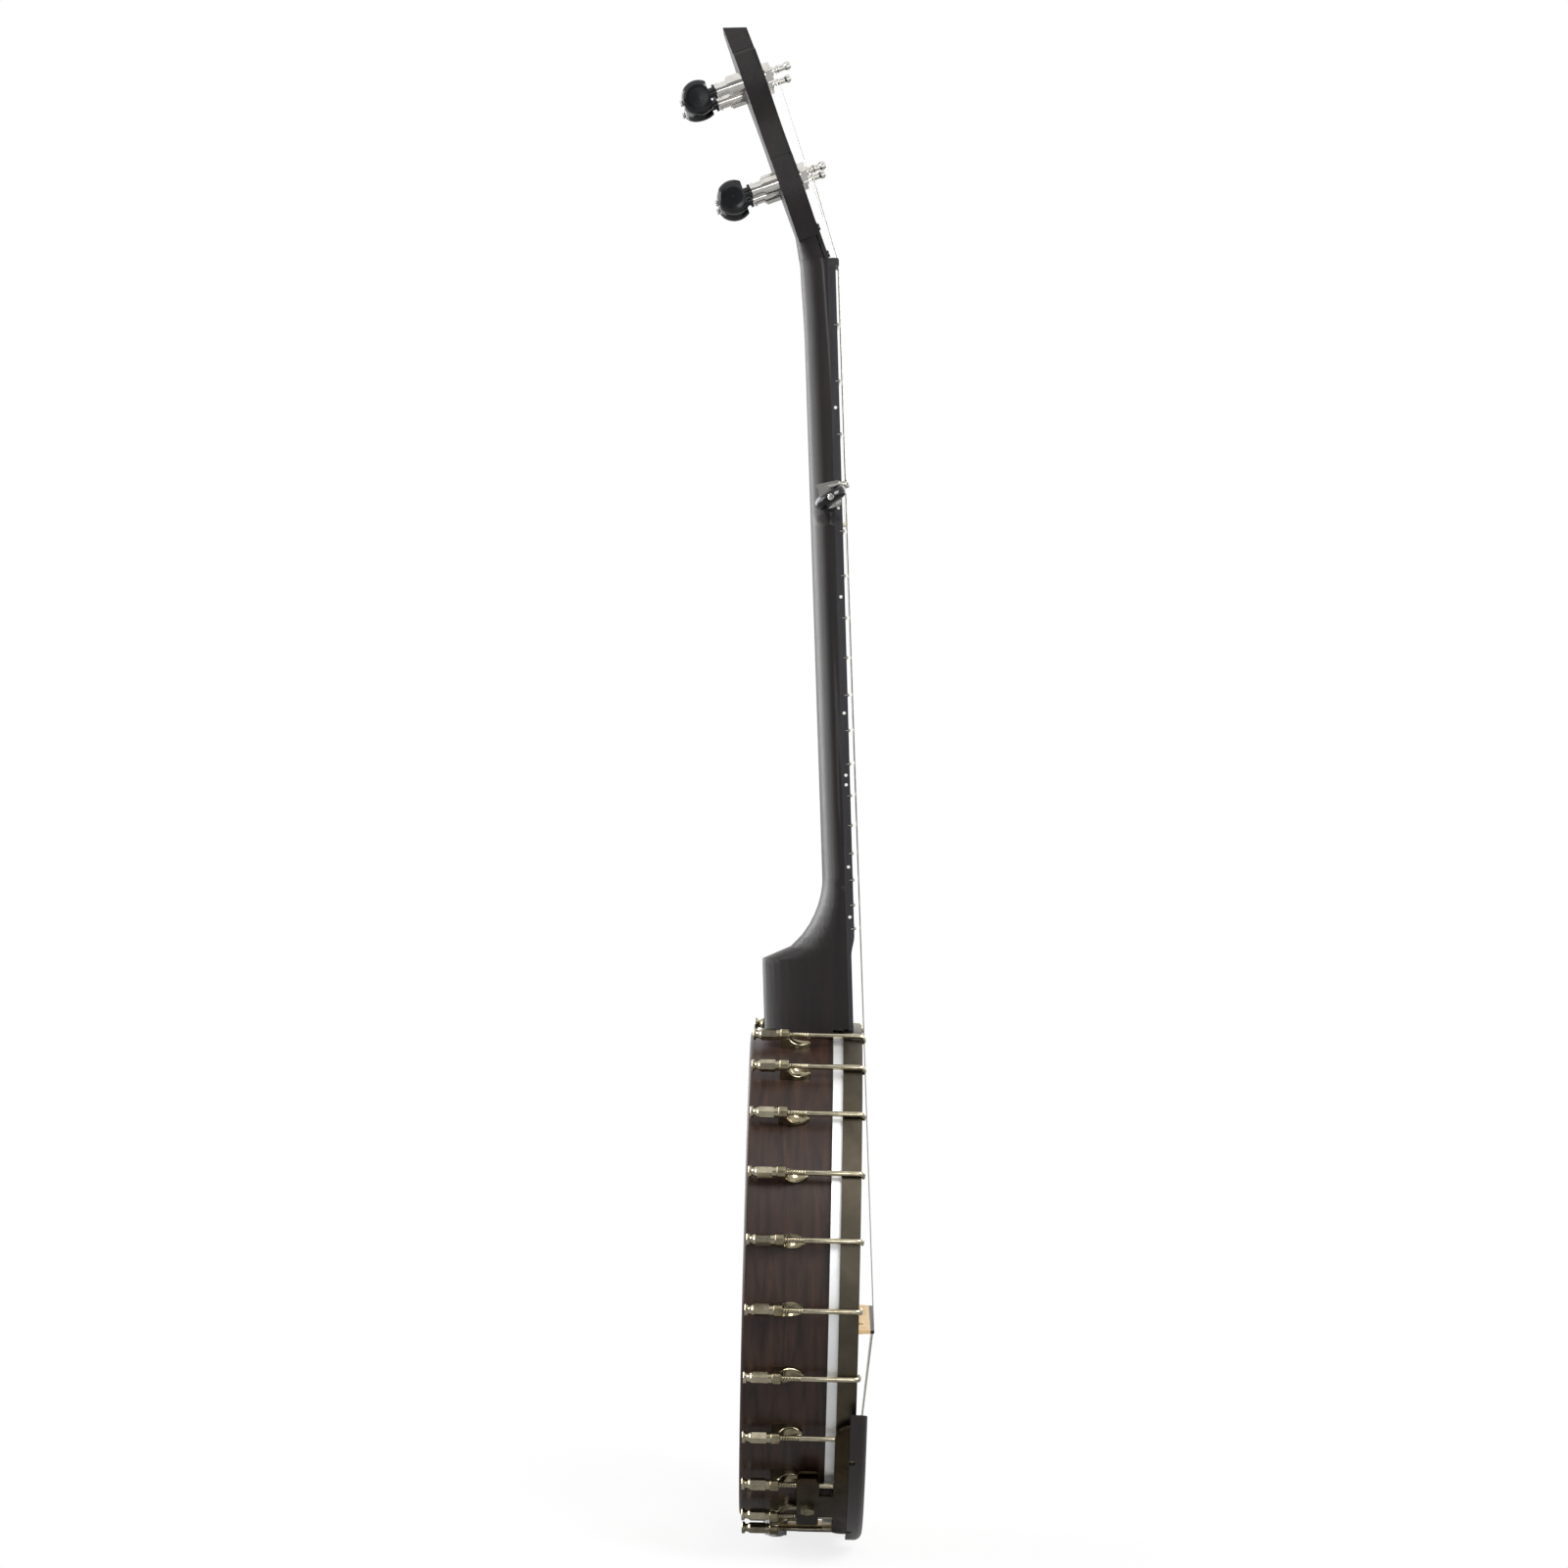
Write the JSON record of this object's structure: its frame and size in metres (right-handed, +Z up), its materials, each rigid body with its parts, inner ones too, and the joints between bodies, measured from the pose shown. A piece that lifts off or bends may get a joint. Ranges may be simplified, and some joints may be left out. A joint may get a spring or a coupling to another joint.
{
  "type": "five-string banjo",
  "caption": "Open-back five-string banjo: fretted neck, round wooden pot with a tensioned head, geared pegs, bridge, tailpiece and armrest.",
  "frame": {"origin": "on the pot's lowest line, where a stand's cradle takes the wooden rim, at the middle of the pot's depth and on the centre plane", "axes": "+Z up the neck, -Y out of the playing face, -X towards the fifth string's side"},
  "size_m": [0.328, 0.14, 0.9522],
  "materials": {
    "rim_wood": "dark stained hardwood rim, satin lacquer",
    "tone_ring_brass": "rolled brass, plain",
    "head_skin": "frosted polyester film",
    "flesh_hoop_aluminium": "polished aluminium hoop",
    "hoop_brass": "aged bronze-coloured brass",
    "shoe_brass": "aged brass casting",
    "hook_brass": "aged brass",
    "rod_steel": "plated steel",
    "neck_wood": "dark walnut-like hardwood, gloss lacquer",
    "peghead_veneer_wood": "dark veneer, gloss lacquer",
    "fingerboard_ebony": "ebony, oiled and polished",
    "fret_metal": "nickel silver fret wire",
    "pearl": "white pearl dot",
    "nut_black": "black composite",
    "bone": "bone",
    "nickel": "bright nickel plate",
    "button_black": "moulded black plastic",
    "bridge_maple": "plain maple",
    "cap_ebony": "ebony",
    "tailpiece_brass": "polished brass sheet",
    "armrest_wood": "dark hardwood, satin lacquer",
    "bracket_bronze": "aged bronze-coloured sheet",
    "string_steel": "plain and wound steel strings"
  },
  "bodies": {
    "root": {"rim": "rim_wood", "tone_ring": "tone_ring_brass", "head": "head_skin", "flesh_hoop": "flesh_hoop_aluminium", "tension_hoop": "hoop_brass", "shoes": "shoe_brass", "shoe_bolts": "shoe_brass", "hooks": "hook_brass", "hook_nuts": "hook_brass", "coordinator_rod": "rod_steel", "rod_nuts": "rod_steel", "lag_bolts": "rod_steel", "neck": "neck_wood", "fingerboard": "fingerboard_ebony", "frets": "fret_metal", "face_dots": "pearl", "side_dots": "pearl", "nut": "nut_black", "fifth_string_pip": "bone", "truss_rod": "rod_steel", "peghead_veneer": "peghead_veneer_wood", "truss_rod_cover": "nut_black", "cover_screws": "nut_black", "tuner_cases": "nickel", "barrel_nuts": "nickel", "peg5_housing": "nickel", "peg5_ring_nut": "nickel", "bridge": "bridge_maple", "bridge_cap": "cap_ebony", "tailpiece": "tailpiece_brass", "hitch_pins": "tailpiece_brass", "armrest_board": "armrest_wood", "armrest_bracket": "bracket_bronze", "armrest_clamp": "bracket_bronze", "armrest_bolt": "bracket_bronze", "armrest_screws": "bracket_bronze", "string_1": "string_steel", "string_2": "string_steel", "string_3": "string_steel", "string_4": "string_steel", "string_5": "string_steel"},
    "button_1": {"tuner_button_1": "button_black", "button_screw_1": "nickel"},
    "post_1": {"tuner_post_1": "nickel"},
    "button_2": {"tuner_button_2": "button_black", "button_screw_2": "nickel"},
    "post_2": {"tuner_post_2": "nickel"},
    "button_3": {"tuner_button_3": "button_black", "button_screw_3": "nickel"},
    "post_3": {"tuner_post_3": "nickel"},
    "button_4": {"tuner_button_4": "button_black", "button_screw_4": "nickel"},
    "post_4": {"tuner_post_4": "nickel"},
    "fifth_button": {"peg5_button": "button_black", "peg5_screw": "nickel"},
    "fifth_post": {"peg5_post": "nickel"}
  },
  "joints": [
    {"name": "button_1_turn", "type": "hinge", "parent": "root", "child": "button_1", "pos_m": [-0.0194, 0.01496, 0.84542], "axis": [0, 0.934, -0.3572], "continuous": true},
    {"name": "post_1_turn", "type": "hinge", "parent": "root", "child": "post_1", "pos_m": [-0.0194, 0.01496, 0.84542], "axis": [0, 0.934, -0.3572], "continuous": true},
    {"name": "button_2_turn", "type": "hinge", "parent": "root", "child": "button_2", "pos_m": [-0.0244, 0.03832, 0.9065], "axis": [0, 0.934, -0.3572], "continuous": true},
    {"name": "post_2_turn", "type": "hinge", "parent": "root", "child": "post_2", "pos_m": [-0.0244, 0.03832, 0.9065], "axis": [0, 0.934, -0.3572], "continuous": true},
    {"name": "button_3_turn", "type": "hinge", "parent": "root", "child": "button_3", "pos_m": [0.0296, 0.03832, 0.9065], "axis": [0, 0.934, -0.3572], "continuous": true},
    {"name": "post_3_turn", "type": "hinge", "parent": "root", "child": "post_3", "pos_m": [0.0296, 0.03832, 0.9065], "axis": [0, 0.934, -0.3572], "continuous": true},
    {"name": "button_4_turn", "type": "hinge", "parent": "root", "child": "button_4", "pos_m": [0.0246, 0.01496, 0.84542], "axis": [0, 0.934, -0.3572], "continuous": true},
    {"name": "post_4_turn", "type": "hinge", "parent": "root", "child": "post_4", "pos_m": [0.0246, 0.01496, 0.84542], "axis": [0, 0.934, -0.3572], "continuous": true},
    {"name": "fifth_button_turn", "type": "hinge", "parent": "root", "child": "fifth_button", "pos_m": [-0.01533, -0.00934, 0.64249], "axis": [1, 0, 0], "continuous": true},
    {"name": "fifth_post_turn", "type": "hinge", "parent": "root", "child": "fifth_post", "pos_m": [-0.02153, -0.00778, 0.64931], "axis": [0, 0.9746, -0.2238], "continuous": true}
  ],
  "couplings": [
    {"joint": "post_1_turn", "follows": "button_1_turn", "ratio": 0.25},
    {"joint": "post_2_turn", "follows": "button_2_turn", "ratio": 0.25},
    {"joint": "post_3_turn", "follows": "button_3_turn", "ratio": 0.25},
    {"joint": "post_4_turn", "follows": "button_4_turn", "ratio": 0.25},
    {"joint": "fifth_post_turn", "follows": "fifth_button_turn", "ratio": 0.071429}
  ]
}
